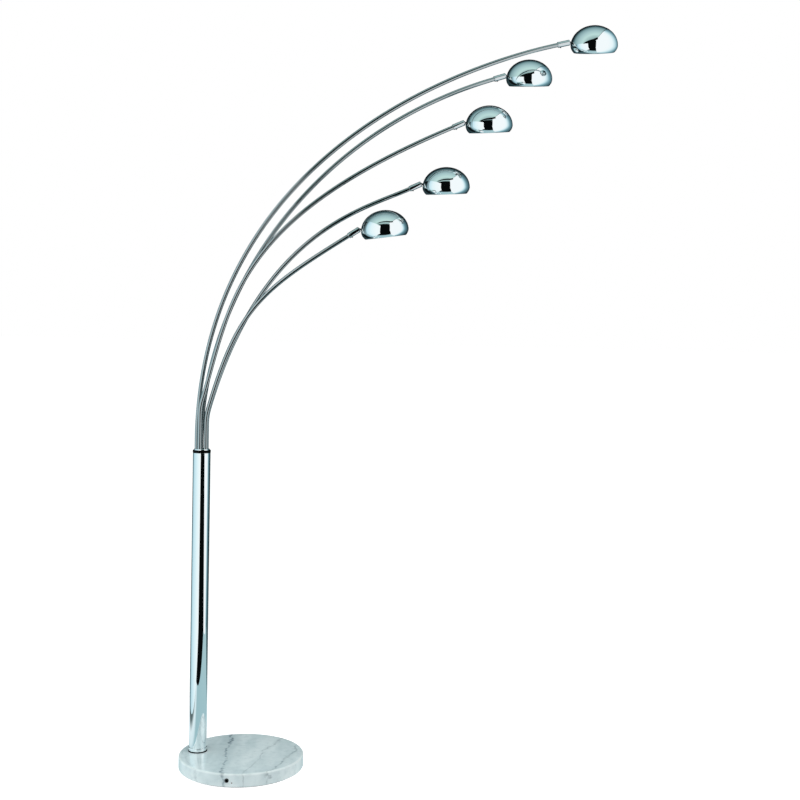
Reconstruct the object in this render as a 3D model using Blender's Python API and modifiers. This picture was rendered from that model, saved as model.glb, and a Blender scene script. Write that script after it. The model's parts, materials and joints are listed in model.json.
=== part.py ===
"""An arc floor lamp: five bent chrome arms fan out from the head of a pole on a round marble base.

Each arm swivels in the pole's head. At its far end a sleeve holds a friction ball, which carries a
small chrome dome with its lamp holder and bulb. Metres, +Z up. The origin is the centre of the
base's underside, and +X is the side that the arms reach over.
"""

from collections import namedtuple
from math import asin, atan2, cos, degrees, pi, radians, sin, sqrt

import bmesh
import bpy
from mathutils import Matrix, Vector

# Base
BASE_RADIUS = 0.150
PAD_THICKNESS = 0.002
PAD_RADIUS = 0.143
BASE_TOP = 0.034
BASE_EDGE_RADIUS = 0.004

# Pole, near the base's edge so that the arms hang over the base
POLE_X = -0.108
POLE_Y = 0.010
POLE_RADIUS = 0.021
POLE_WALL = 0.002
POLE_TOP = 0.7635
COLLAR_RADIUS = 0.0228
COLLAR_HEIGHT = 0.010

# Pole's head
HEAD_RING_RADIUS = 0.0216
HEAD_RING_HEIGHT = 0.0065
ARM_BLOCK_HEIGHT = 0.030
THRUST_PLATE_THICKNESS = 0.003
CAP_THICKNESS = 0.0092
ROOT_CIRCLE = 0.0125

# Fixing under the base
BOLT_RADIUS = 0.0058
BOLT_ABOVE_BASE = 0.018
BOLT_HEAD_HEIGHT = 0.007
BOLT_HEAD_RADIUS = 0.0105
WASHER_RADIUS = 0.015
WASHER_THICKNESS = 0.002
COUNTERBORE_RADIUS = 0.0165
COUNTERBORE_TOP = 0.014
PLUG_HEIGHT = 0.026

# Supply cord's way: in through the base's side, up beside the bolt
CORD_HOLE_RADIUS = 0.0042
CORD_HOLE_HEIGHT = 0.0185
CORD_HOLE_ANGLE = radians(-94.7)
CORD_RISER_OFFSET = 0.0125
CORD_WAY_RADIUS = 0.003
GROMMET_LENGTH = 0.008
GROMMET_LIP = 0.0007

# Arms
ARM_RADIUS = 0.005
ARM_WALL = 0.001
ARM_POINTS = 16
ARM_END_IN_SLEEVE = 0.010
BEND_LENGTH = 0.020

# Sleeve and ball at an arm's end
SLEEVE_RADIUS = 0.00675
SLEEVE_LENGTH = 0.030
SLEEVE_STOP_LENGTH = 0.003
SEAT_RADIUS = 0.0053
SEAT_NOSE = 0.001
SEAT_BACK = 0.002
BALL_RADIUS = 0.0038
BALL_TO_NOSE = 0.002
BALL_TO_SHADE = 0.0054
NECK_RADIUS = 0.0018
NECK_FLANGE_LENGTH = 0.0005
NECK_FLANGE_TO_SHADE = 0.001
SET_SCREW_RADIUS = 0.0017
SET_SCREW_FROM_END = 0.006
SET_SCREW_STANDS_OUT = 0.0016

# Shade: a dome over its widest line, tucked in below it
SHADE_RADIUS = 0.057
SHADE_DOME = 0.048
SHADE_TUCK = 0.017
SHADE_TUCK_CURVE = 0.0325
SHADE_WALL = 0.001
SHADE_HOLE_ABOVE_WIDEST = 0.009
DOME_STEPS = 6
TUCK_STEPS = 2

# Inside a shade
STRAP_HALF_WIDTH = 0.0045
STRAP_THICKNESS = 0.001
STRAP_HEIGHT = 0.023
STRAP_TO_BALL = 0.0094
STRAP_KNEE = 0.030
NUT_RADIUS = 0.0042
NUT_THICKNESS = 0.0026
STUD_PAST_NUT = 0.0015
HOLDER_RADIUS = 0.0095
HOLDER_TOP = 0.035
HOLDER_BOTTOM = 0.014
HOLDER_EDGE = 0.002
HOLDER_BORE_DEPTH = 0.014
BULB_RADIUS = 0.015
BULB_CENTRE = -0.002
BULB_CAP_RADIUS = 0.006
BULB_CAP_IN_HOLDER = 0.0125
BULB_CAP_BELOW_HOLDER = 0.002

# Between pieces that touch, and how round pieces are cut
GAP = 0.0003
SIDES = 24
SHARP_ANGLE = 35

# An arm stands upright at its root, leans over at its bend and runs out in one curve.
# root and fan are angles in plan; bend is the bend's height; lean is measured from upright;
# pulls are the lengths of the curve's two handles; reach and height are its far end; rise is
# the far end's angle above level; nod and twist set its shade.
Arm = namedtuple("Arm", "number root fan bend lean pulls reach height rise nod twist")
ARMS = (
    Arm(1, 180, 3.0, 0.800, 0.5, (0.718, 0.167), 0.851, 1.7645, 13.5, 3.9, 15.0),
    Arm(2, 108, 8.0, 0.800, 0.7, (0.325, 0.500), 0.700, 1.692, 18.4, 3.4, 11.5),
    Arm(3, -108, 4.5, 0.875, 16.9, (0.248, 0.594), 0.595, 1.5605, 24.2, 4.2, 9.5),
    Arm(4, 36, 1.5, 0.852, 14.8, (0.461, 0.130), 0.478, 1.409, 24.8, 3.1, 7.0),
    Arm(5, -36, -1.0, 0.852, 15.0, (0.270, 0.253), 0.335, 1.291, 32.8, 7.9, 5.0),
)


def clear_scene():
    for thing in list(bpy.data.objects):
        bpy.data.objects.remove(thing)


def new_collection(name):
    made = bpy.data.collections.new(name)
    bpy.context.scene.collection.children.link(made)
    return made


clear_scene()
LAMP = new_collection("arc_floor_lamp")
CUTTERS = new_collection("cutters")


def new_material(name, colour, roughness, metallic):
    made = bpy.data.materials.new(name)
    made.use_nodes = True
    shader = made.node_tree.nodes["Principled BSDF"]
    shader.inputs["Base Color"].default_value = (*colour, 1)
    shader.inputs["Roughness"].default_value = roughness
    shader.inputs["Metallic"].default_value = metallic
    return made


CHROME = (0.85, 0.87, 0.88)
BLACK = (0.015, 0.015, 0.016)
STEEL = (0.45, 0.46, 0.47)
MARBLE = (0.70, 0.74, 0.75)
FELT = (0.05, 0.05, 0.05)
CERAMIC = (0.82, 0.80, 0.76)
GLASS = (0.92, 0.92, 0.88)
FINISH = {CHROME: (0.05, 1), BLACK: (0.4, 0), STEEL: (0.35, 1), MARBLE: (0.2, 0)}
FINISH |= {FELT: (0.9, 0), CERAMIC: (0.3, 0), GLASS: (0.05, 0)}


def place(thing, colour, parent=None, matrix=None):
    """Links the object to the lamp with a material of its own, at a place in its parent's space."""
    LAMP.objects.link(thing)
    roughness, metallic = FINISH[colour]
    thing.data.materials.append(new_material(f"{thing.name}_finish", colour, roughness, metallic))
    thing.parent = parent
    thing.matrix_basis = matrix or Matrix.Identity(4)


def arc(middle_r, middle_z, radius, start, end, steps):
    """Points of a turned outline's round stretch, as (r, z), from one angle in degrees to another."""
    angles = [radians(start + (end - start) * k / steps) for k in range(steps + 1)]
    return [(middle_r + radius * cos(a), middle_z + radius * sin(a)) for a in angles]


def turned(name, outline, sides=SIDES):
    """An outline of (r, z) points turned about Z. It runs down its outer side; off the axis it closes."""
    count = len(outline)
    links = [(k, k + 1) for k in range(count - 1)]
    if outline[0][0] > 0 and outline[-1][0] > 0:
        links.append((count - 1, 0))
    mesh = bpy.data.meshes.new(name)
    mesh.from_pydata([(r, 0, z) for r, z in outline], links, [])
    thing = bpy.data.objects.new(name, mesh)
    screw = thing.modifiers.new("turn", "SCREW")
    screw.steps = screw.render_steps = sides
    screw.use_merge_vertices = True
    screw.merge_threshold = 0.00001
    screw.use_smooth_shade = True
    return thing


def ring(name, outer, inner, low, high, sides=SIDES):
    return turned(name, [(outer, high), (outer, low), (inner, low), (inner, high)], sides)


def rod(name, radius, low, high, sides=SIDES, matrix=None):
    """A plain rod along Z, low to high, with flat ends: a fastener, a spindle or a drill."""
    mesh = bpy.data.meshes.new(name)
    shape = bmesh.new()
    middle = Matrix.Translation((0, 0, (low + high) / 2))
    bmesh.ops.create_cone(
        shape,
        cap_ends=True,
        segments=sides,
        radius1=radius,
        radius2=radius,
        depth=high - low,
        matrix=(matrix or Matrix.Identity(4)) @ middle,
    )
    shape.to_mesh(mesh)
    shape.free()
    mesh.shade_smooth()
    mesh.set_sharp_from_angle(angle=radians(SHARP_ANGLE))
    return bpy.data.objects.new(name, mesh)


def joined(thing, other, operation):
    """A Boolean of two objects in one parent's space. The other becomes a hidden helper."""
    CUTTERS.objects.link(other)
    other.parent = thing.parent
    other.matrix_basis = thing.matrix_basis @ other.matrix_basis
    other.hide_render = True
    other.display_type = "WIRE"
    step = thing.modifiers.new(other.name, "BOOLEAN")
    step.operation = operation
    step.object = other


def drilled(thing, name, radius, low, high, matrix=None, sides=16):
    joined(thing, rod(f"{name}_drill", radius, low, high, sides, matrix), "DIFFERENCE")


def along(direction):
    """The turn that lays Z along a direction."""
    return Vector(direction).to_track_quat("Z", "Y").to_matrix().to_4x4()


POLE = Matrix.Translation((POLE_X, POLE_Y, 0))
CORD_SIDE = Vector((cos(CORD_HOLE_ANGLE), sin(CORD_HOLE_ANGLE), 0))


def roots():
    """Each arm's place on the root circle, from the pole's axis."""
    for arm in ARMS:
        angle = radians(arm.root)
        yield arm.number, Vector((ROOT_CIRCLE * cos(angle), ROOT_CIRCLE * sin(angle), 0))


def cord_riser():
    """The upright part of the cord's way, from the pole's axis: beside the bolt, towards the hole."""
    way = CORD_SIDE * BASE_RADIUS - Vector((POLE_X, POLE_Y, 0))
    return way.normalized() * CORD_RISER_OFFSET


def cord_mouth():
    """The hole in the base's side: its frame has Z pointing straight out of the side."""
    mouth = CORD_SIDE * BASE_RADIUS + Vector((0, 0, CORD_HOLE_HEIGHT))
    return Matrix.Translation(mouth) @ along(CORD_SIDE)


def cord_tunnel():
    """The length and the frame of the level drill from behind the grommet to the riser."""
    start = cord_mouth() @ Vector((0, 0, -GROMMET_LENGTH))
    end = Vector((POLE_X, POLE_Y, CORD_HOLE_HEIGHT)) + cord_riser()
    return (end - start).length, Matrix.Translation(start) @ along(end - start)


def make_base():
    flat = BASE_RADIUS - BASE_EDGE_RADIUS
    outline = [(0, BASE_TOP)]
    outline += arc(flat, BASE_TOP - BASE_EDGE_RADIUS, BASE_EDGE_RADIUS, 90, 0, 3)
    outline += arc(flat, PAD_THICKNESS + GAP + BASE_EDGE_RADIUS, BASE_EDGE_RADIUS, 0, -90, 2)
    outline += [(0, PAD_THICKNESS + GAP)]
    base = turned("marble_base", outline, 48)
    place(base, MARBLE)
    bolt_way = BOLT_RADIUS + 2 * GAP
    drilled(base, "bolt", bolt_way, 0, BASE_TOP + GAP, POLE)
    drilled(base, "counterbore", COUNTERBORE_RADIUS, 0, COUNTERBORE_TOP, POLE, 16)
    riser = POLE @ Matrix.Translation(cord_riser())
    drilled(base, "cord_riser", CORD_WAY_RADIUS, CORD_HOLE_HEIGHT, BASE_TOP + GAP, riser, 12)
    length, tunnel = cord_tunnel()
    drilled(base, "cord_tunnel", CORD_WAY_RADIUS, -CORD_WAY_RADIUS, length, tunnel, 12)
    seat_low = -GROMMET_LENGTH - CORD_WAY_RADIUS
    drilled(base, "grommet_seat", CORD_HOLE_RADIUS, seat_low, GROMMET_LENGTH, cord_mouth())

    pad = rod("base_pad", PAD_RADIUS, 0, PAD_THICKNESS, 48)
    place(pad, FELT)
    drilled(pad, "pad_hole", COUNTERBORE_RADIUS, -GAP, PAD_THICKNESS + GAP, POLE, 16)


def make_fixing():
    low = COUNTERBORE_TOP - GAP - WASHER_THICKNESS
    washer = ring("base_washer", WASHER_RADIUS, BOLT_RADIUS + GAP, low, COUNTERBORE_TOP - GAP, 16)
    place(washer, STEEL, matrix=POLE)
    head_top = low - GAP
    head = rod("base_bolt", BOLT_HEAD_RADIUS, head_top - BOLT_HEAD_HEIGHT, head_top, 6)
    place(head, STEEL, matrix=POLE)
    shank = rod("base_bolt_shank", BOLT_RADIUS, head_top - GAP, BASE_TOP + BOLT_ABOVE_BASE, 16)
    joined(head, shank, "UNION")

    plug_low = BASE_TOP + GAP
    plug_high = plug_low + PLUG_HEIGHT
    plug_radius = POLE_RADIUS - POLE_WALL - GAP
    plug = rod("foot_plug", plug_radius, plug_low, plug_high)
    place(plug, STEEL, matrix=POLE)
    drilled(plug, "plug_thread", BOLT_RADIUS + GAP, 0, plug_high + GAP)
    riser = Matrix.Translation(cord_riser())
    drilled(plug, "plug_cord_way", CORD_WAY_RADIUS, 0, plug_high + GAP, riser, 12)

    body = CORD_HOLE_RADIUS - GAP
    lip = CORD_HOLE_RADIUS + GROMMET_LIP
    bore = body - GROMMET_LIP
    lip_low = 2 * GAP
    lip_high = lip_low + GROMMET_LIP
    outline = [(lip, lip_high), (lip, lip_low), (body, lip_low), (body, -GROMMET_LENGTH)]
    outline += [(bore, -GROMMET_LENGTH), (bore, lip_high)]
    place(turned("cord_grommet", outline, 16), BLACK, matrix=cord_mouth())


def make_pole():
    inner = POLE_RADIUS - POLE_WALL
    collar_top = BASE_TOP + GAP + COLLAR_HEIGHT
    collar = [(POLE_RADIUS + 2 * GAP, collar_top)]
    collar += arc(COLLAR_RADIUS - GAP, collar_top - GAP, GAP, 90, 0, 2)
    collar += [(COLLAR_RADIUS, BASE_TOP + GAP), (POLE_RADIUS + GAP, BASE_TOP + GAP)]
    place(turned("foot_collar", collar), CHROME, matrix=POLE)
    tube = ring("pole_tube", POLE_RADIUS, inner, BASE_TOP + GAP, POLE_TOP)
    place(tube, CHROME, matrix=POLE)


def make_pole_head():
    inner = POLE_RADIUS - POLE_WALL
    fitted = inner - GAP
    low = POLE_TOP + GAP
    high = low + HEAD_RING_HEIGHT
    outline = [(HEAD_RING_RADIUS - GAP, high), (HEAD_RING_RADIUS, high - GAP)]
    outline += [(HEAD_RING_RADIUS, low), (inner + GAP, low), (inner + GAP, high)]
    place(turned("head_ring", outline), BLACK, matrix=POLE)

    cap_top = low + CAP_THICKNESS
    cap = rod("pole_cap", inner - GAP / 2, low, cap_top)
    block = rod("arm_block", fitted, POLE_TOP - ARM_BLOCK_HEIGHT, POLE_TOP)
    plate_top = POLE_TOP - ARM_BLOCK_HEIGHT - GAP
    plate_low = plate_top - THRUST_PLATE_THICKNESS
    plate = rod("thrust_plate", fitted, plate_low, plate_top)
    place(cap, CHROME, matrix=POLE)
    place(block, STEEL, matrix=POLE)
    place(plate, STEEL, matrix=POLE)
    bearing = ARM_RADIUS + GAP * 4 / 3
    wire_way = ARM_RADIUS / 2
    for number, root in roots():
        spot = Matrix.Translation(root)
        drilled(cap, f"cap_hole_{number}", bearing, POLE_TOP - GAP, cap_top + GAP, spot)
        drilled(block, f"block_hole_{number}", bearing, plate_top, POLE_TOP + GAP, spot)
        drilled(plate, f"wire_hole_{number}", wire_way, plate_low - GAP, plate_top + GAP, spot, 8)


def arm_path(arm):
    """The arm's centre line in its own upright plane, as (x, z), from inside the pole to the sleeve."""
    lean = radians(arm.lean)
    rise = radians(arm.rise)
    start = Vector((0, arm.bend))
    end = Vector((arm.reach, arm.height))
    outward = Vector((cos(rise), sin(rise)))
    near = start + arm.pulls[0] * Vector((sin(lean), cos(lean)))
    far = end - arm.pulls[1] * outward

    def curve(t):
        s = 1 - t
        return s**3 * start + 3 * s * s * t * near + 3 * s * t * t * far + t**3 * end

    first = BEND_LENGTH / (3 * arm.pulls[0])
    low = Vector((0, arm.bend - BEND_LENGTH))
    after = curve(first)
    path = [Vector((0, POLE_TOP - ARM_BLOCK_HEIGHT))]
    for k in range(4):
        t = k / 4
        path.append((1 - t) ** 2 * low + 2 * t * (1 - t) * start + t * t * after)
    path += [curve(first + (1 - first) * k / ARM_POINTS) for k in range(ARM_POINTS + 1)]
    path.append(end + ARM_END_IN_SLEEVE * outward)
    return path


def make_arm(arm, root):
    spine = bpy.data.curves.new(f"arm_{arm.number}_tube", "CURVE")
    spine.dimensions = "3D"
    spine.bevel_depth = ARM_RADIUS
    spine.bevel_resolution = 2
    line = spine.splines.new("POLY")
    path = arm_path(arm)
    line.points.add(len(path) - 1)
    for point, (x, z) in zip(line.points, path):
        point.co = (x, 0, z, 1)
    line.use_smooth = True
    tube = bpy.data.objects.new(f"arm_{arm.number}_tube", spine)
    fan = Matrix.Rotation(radians(arm.fan), 4, "Z")
    place(tube, CHROME, matrix=POLE @ Matrix.Translation(root) @ fan)
    wall = tube.modifiers.new("wall", "SOLIDIFY")
    wall.thickness = ARM_WALL
    wall.offset = -1

    rise = radians(arm.rise)
    sleeve_axis = Matrix.Translation((arm.reach, 0, arm.height)) @ along((cos(rise), 0, sin(rise)))
    make_sleeve(arm, tube, sleeve_axis)
    return POLE @ Matrix.Translation(root) @ fan @ sleeve_axis


def make_sleeve(arm, tube, sleeve_axis):
    """The sleeve's Z runs out along the arm's end, from the end of the bare tube, and its Y points up."""
    bore = ARM_RADIUS + GAP
    seat_bore = SEAT_RADIUS + GAP
    chamfer = SLEEVE_RADIUS - seat_bore - 2 * GAP
    stop_low = ARM_END_IN_SLEEVE + GAP
    stop_high = stop_low + SLEEVE_STOP_LENGTH
    outline = [(SLEEVE_RADIUS - chamfer, SLEEVE_LENGTH)]
    outline += [(SLEEVE_RADIUS, SLEEVE_LENGTH - 2 * chamfer), (SLEEVE_RADIUS, GAP)]
    outline += [(SLEEVE_RADIUS - GAP, 0), (bore, 0), (bore, stop_low)]
    outline += [(bore / 2, stop_low), (bore / 2, stop_high)]
    outline += [(seat_bore, stop_high), (seat_bore, SLEEVE_LENGTH)]
    sleeve = turned(f"arm_{arm.number}_sleeve", outline, 16)
    place(sleeve, CHROME, tube, sleeve_axis)
    under = Matrix.Translation((0, 0, SET_SCREW_FROM_END)) @ along((0, -1, 0))
    hole = SET_SCREW_RADIUS + GAP
    drilled(sleeve, f"set_screw_hole_{arm.number}", hole, 0, 2 * SLEEVE_RADIUS, under, 8)
    top = SLEEVE_RADIUS + SET_SCREW_STANDS_OUT
    screw = rod(f"arm_{arm.number}_set_screw", SET_SCREW_RADIUS, bore, top, 8)
    place(screw, BLACK, tube, sleeve_axis @ under)


def make_ball_seat(arm, sleeve_axis):
    """A cup that turns inside the sleeve. Its hollow holds the ball, and its mouth lets the neck lean."""
    nose = SLEEVE_LENGTH + SEAT_NOSE
    ball = nose - BALL_TO_NOSE
    hollow = BALL_RADIUS + GAP
    back = ball - hollow - SEAT_BACK
    wire_way = ARM_RADIUS / 2
    back_angle = degrees(atan2(-sqrt(hollow**2 - wire_way**2), wire_way))
    front_angle = degrees(asin(BALL_TO_NOSE / hollow))
    outline = [(SEAT_RADIUS - SEAT_NOSE, nose), (SEAT_RADIUS, nose - SEAT_NOSE)]
    outline += [(SEAT_RADIUS, back), (wire_way, back)]
    outline += arc(0, ball, hollow, back_angle, front_angle, 5)
    seat = turned(f"head_{arm.number}_ball_seat", outline, 12)
    place(seat, BLACK, matrix=sleeve_axis)


def head_matrix(arm, sleeve_axis):
    """The shade's frame: the ball's centre, X towards the dome's axis, Z up the dome."""
    ball = SLEEVE_LENGTH + SEAT_NOSE - BALL_TO_NOSE
    middle = sleeve_axis @ Vector((0, 0, ball))
    direction = (sleeve_axis.to_3x3() @ Vector((0, 0, 1))).normalized()
    fan = Matrix.Rotation(radians(arm.fan), 4, "Z")
    nod = Matrix.Rotation(radians(-arm.nod), 4, "Y")
    twist = Matrix.Rotation(radians(arm.twist), 4, direction)
    return Matrix.Translation(middle) @ twist @ fan @ nod


def shade_radius(above_widest):
    """The dome's outer radius at a height above its widest line."""
    curve = SHADE_DOME if above_widest > 0 else SHADE_TUCK_CURVE
    return SHADE_RADIUS * sqrt(1 - (above_widest / curve) ** 2)


AXIS_X = BALL_TO_SHADE + shade_radius(SHADE_HOLE_ABOVE_WIDEST)
SIDE_DRILL = STRAP_TO_BALL + 2 * STRAP_THICKNESS


def shade_outline():
    """Down the outside from the crown, round the rim and back up the inside."""
    outer = []
    for k in range(DOME_STEPS + 1):
        angle = pi / 2 * (1 - k / DOME_STEPS)
        outer.append((SHADE_RADIUS * cos(angle), SHADE_DOME * sin(angle)))
    for k in range(1, TUCK_STEPS + 1):
        z = -SHADE_TUCK * k / TUCK_STEPS
        outer.append((shade_radius(z), z))
    outer[0] = (0, SHADE_DOME)
    inner = [(max(r - SHADE_WALL, 0), z * (SHADE_DOME - SHADE_WALL) / SHADE_DOME) for r, z in outer]
    inner[-1] = (outer[-1][0] - SHADE_WALL, -SHADE_TUCK)
    return [(r, z - SHADE_HOLE_ABOVE_WIDEST) for r, z in outer + inner[::-1]]


def make_head(arm, sleeve_axis):
    make_ball_seat(arm, sleeve_axis)
    pivot = bpy.data.objects.new(f"head_{arm.number}_pivot", None)
    LAMP.objects.link(pivot)
    pivot.matrix_basis = head_matrix(arm, sleeve_axis)
    dome_axis = Matrix.Translation((AXIS_X, 0, 0))
    shade = turned(f"head_{arm.number}_shade", shade_outline(), 24)
    place(shade, CHROME, pivot, dome_axis)
    level = along((1, 0, 0))
    hole = dome_axis.inverted() @ level
    drilled(shade, f"shade_hole_{arm.number}", NECK_RADIUS + GAP, 0, SIDE_DRILL, hole, 12)
    make_ball_stud(arm, pivot, level)
    make_lamp_holder(arm, pivot, dome_axis, level)
    make_bulb(arm, pivot, dome_axis)


NUT_X = STRAP_TO_BALL + STRAP_THICKNESS + GAP
NUT_DRILL = NUT_X + 2 * NUT_THICKNESS


def make_ball_stud(arm, pivot, level):
    flange = NECK_RADIUS + 2 * GAP
    end = NUT_X + NUT_THICKNESS + STUD_PAST_NUT
    flange_high = BALL_TO_SHADE - NECK_FLANGE_TO_SHADE
    flange_low = flange_high - NECK_FLANGE_LENGTH
    outline = [(0, end), (NECK_RADIUS, end), (NECK_RADIUS, flange_high), (flange, flange_high)]
    outline += [(flange, flange_low), (NECK_RADIUS, flange_low)]
    outline += arc(0, 0, BALL_RADIUS, 62, -70, 5)
    outline += [(0, -BALL_RADIUS)]
    place(turned(f"head_{arm.number}_ball_stud", outline, 10), STEEL, pivot, level)
    nut = rod(f"head_{arm.number}_lock_nut", NUT_RADIUS, NUT_X, NUT_X + NUT_THICKNESS, 6)
    place(nut, STEEL, pivot, level)
    drilled(nut, f"nut_thread_{arm.number}", NECK_RADIUS + GAP, 0, NUT_DRILL, None, 12)


def strap_outline():
    """The strap from the side: up from the stud, over to the lamp holder."""
    t = STRAP_THICKNESS
    side = AXIS_X - HOLDER_RADIUS
    foot = -STRAP_HALF_WIDTH
    knee = Vector((STRAP_KNEE, STRAP_HEIGHT))
    outer = [(STRAP_TO_BALL, foot), (STRAP_TO_BALL, -foot), knee, (side + 2 * t, STRAP_HEIGHT)]
    inner = [(side + 2 * t, STRAP_HEIGHT - t), knee + Vector((t / 2, -t))]
    return outer + inner + [(STRAP_TO_BALL + t, -foot - t / 2), (STRAP_TO_BALL + t, foot)]


def strap_solid(name):
    """The strap's outline, extruded to its width."""
    flat = bpy.data.curves.new(name, "CURVE")
    flat.dimensions = "2D"
    flat.fill_mode = "BOTH"
    flat.extrude = STRAP_HALF_WIDTH
    points = strap_outline()
    line = flat.splines.new("POLY")
    line.points.add(len(points) - 1)
    for point, (x, z) in zip(line.points, points):
        point.co = (x, z, 0, 1)
    line.use_cyclic_u = True
    curve = bpy.data.objects.new(f"{name}_curve", flat)
    bpy.context.scene.collection.objects.link(curve)
    ready = curve.evaluated_get(bpy.context.evaluated_depsgraph_get())
    mesh = bpy.data.meshes.new_from_object(ready)
    bpy.data.objects.remove(curve)
    shape = bmesh.new()
    shape.from_mesh(mesh)
    bmesh.ops.remove_doubles(shape, verts=shape.verts, dist=0.00001)
    bmesh.ops.rotate(shape, verts=shape.verts, matrix=Matrix.Rotation(pi / 2, 3, "X"))
    bmesh.ops.recalc_face_normals(shape, faces=shape.faces)
    shape.to_mesh(mesh)
    shape.free()
    return bpy.data.objects.new(name, mesh)


def make_lamp_holder(arm, pivot, dome_axis, level):
    """A lamp holder hung from a strap that the stud's nut clamps to the shade."""
    bore = BULB_CAP_RADIUS + 2 * GAP
    bore_top = HOLDER_BOTTOM + HOLDER_BORE_DEPTH
    outline = [(0, HOLDER_TOP), (HOLDER_RADIUS - HOLDER_EDGE, HOLDER_TOP)]
    outline += [(HOLDER_RADIUS, HOLDER_TOP - HOLDER_EDGE), (HOLDER_RADIUS, HOLDER_BOTTOM)]
    outline += [(bore, HOLDER_BOTTOM), (bore, bore_top), (0, bore_top)]
    holder = turned(f"head_{arm.number}_lamp_holder", outline, 12)
    place(holder, CERAMIC, pivot, dome_axis)
    strap = strap_solid(f"holder_strap_{arm.number}")
    strap.matrix_basis = dome_axis.inverted()
    joined(holder, strap, "UNION")
    hole = dome_axis.inverted() @ level
    drilled(holder, f"strap_hole_{arm.number}", NECK_RADIUS + GAP, 0, SIDE_DRILL, hole, 12)


def make_bulb(arm, pivot, dome_axis):
    """A small globe with a plain cap that stands in the holder's bore."""
    cap_top = HOLDER_BOTTOM + BULB_CAP_IN_HOLDER
    cap_low = HOLDER_BOTTOM - BULB_CAP_BELOW_HOLDER
    outline = [(0, cap_top), (BULB_CAP_RADIUS, cap_top), (BULB_CAP_RADIUS, cap_low)]
    outline += arc(0, BULB_CENTRE, BULB_RADIUS, 50, -72, 5)
    outline += [(0, BULB_CENTRE - BULB_RADIUS)]
    place(turned(f"head_{arm.number}_bulb", outline, 14), GLASS, pivot, dome_axis)


make_base()
make_fixing()
make_pole()
make_pole_head()
for lamp_arm, (_, arm_root) in zip(ARMS, roots()):
    make_head(lamp_arm, make_arm(lamp_arm, arm_root))
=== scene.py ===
"""An arc floor lamp with five chrome arms on a marble base: its finished surfaces, studio and camera.

Each piece is a surface worked out with numpy: an outline turned about an axis, or a circle carried
along a line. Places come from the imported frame. Metres, +Z up, +X the side the arms reach over.
"""

import json
from collections import namedtuple
from math import asin, atan2, cos, pi, radians, sin, sqrt

import bpy
import numpy as np
from mathutils import Matrix, Vector


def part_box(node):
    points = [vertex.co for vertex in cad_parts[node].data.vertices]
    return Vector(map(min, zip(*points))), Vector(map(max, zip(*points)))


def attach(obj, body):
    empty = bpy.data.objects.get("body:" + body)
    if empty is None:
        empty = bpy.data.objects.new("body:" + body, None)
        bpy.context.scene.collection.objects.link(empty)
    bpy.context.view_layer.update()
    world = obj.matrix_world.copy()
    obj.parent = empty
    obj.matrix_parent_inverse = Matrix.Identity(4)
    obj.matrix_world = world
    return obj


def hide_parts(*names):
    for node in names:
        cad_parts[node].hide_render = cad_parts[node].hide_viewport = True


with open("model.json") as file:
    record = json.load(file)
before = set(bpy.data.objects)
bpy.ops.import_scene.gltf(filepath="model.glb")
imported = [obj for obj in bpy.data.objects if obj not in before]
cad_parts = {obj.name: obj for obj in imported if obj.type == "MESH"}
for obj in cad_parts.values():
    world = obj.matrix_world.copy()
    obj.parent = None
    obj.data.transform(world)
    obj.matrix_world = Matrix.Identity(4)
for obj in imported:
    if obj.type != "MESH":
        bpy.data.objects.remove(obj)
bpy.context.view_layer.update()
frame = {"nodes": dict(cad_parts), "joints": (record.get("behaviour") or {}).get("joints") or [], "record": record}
JOINTS = {joint["name"]: joint for joint in frame["joints"]}

# How finely pieces are cut: sides round a turned piece, and steps in a rounded corner
BASE_SIDES = 256
SHADE_SIDES = 192
POLE_SIDES = 160
FINE = 128
MEDIUM = 64
SMALL = 48
COARSE = 40
SCREW_SIDES = 36
CORNER_STEPS = 5
SHARP_ANGLE = radians(34)
GRAIN_SCALE = 900

# Base and pole
BASE_EDGE = 0.004
CORD_HOLE_RADIUS = 0.0042
CORD_HOLE_DEPTH = 0.011
LIP_RADIUS = 0.0049
LIP_OUT = 0.0013
LIP_BEHIND = 0.0006
GLAND_RADIUS = 0.0039
GLAND_BORE = 0.0032
GLAND_DEPTH = 0.008
COUNTERBORE_RADIUS = 0.0165
COUNTERBORE_TOP = 0.014
# Height of the black seal under the foot's flange, which is painted shadow.
SHADOW_SEAL_HEIGHT = 0.0024
FLANGE_WALL = 0.0005
CAP_EDGE = 0.0012
RING_EDGE = 0.0031
GAP = 0.0003
POLE_WALL = 0.002
PAST = 0.01  # how far a drill reaches past the face it cuts

# Arms, sleeves and ball joints
ARM_RADIUS = 0.005
ARM_HOLE_PLAY = 0.0004
ARM_BLOCK_HEIGHT = 0.030
BEND_LENGTH = 0.020
SLEEVE_RADIUS = 0.00675
SLEEVE_LENGTH = 0.030
SLEEVE_GROOVE = 0.0022
TUBE_STOP = 0.0103
THROAT_RADIUS = 0.003
SEAT_STOP = 0.0133
IN_SLEEVE = 0.010
SEAT_LENGTH_BEHIND = 0.002
SEAT_BORE_RADIUS = 0.0025
SEAT_RADIUS = 0.0053
SEAT_NOSE = 0.001
BALL_RADIUS = 0.0038
BALL_TO_NOSE = 0.002
BALL_TO_SHADE = 0.0054
NECK_RADIUS = 0.0018
SET_SCREW_RADIUS = 0.0017
SET_SCREW_FROM_END = 0.006
SET_SCREW_STANDS_OUT = 0.0016

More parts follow.
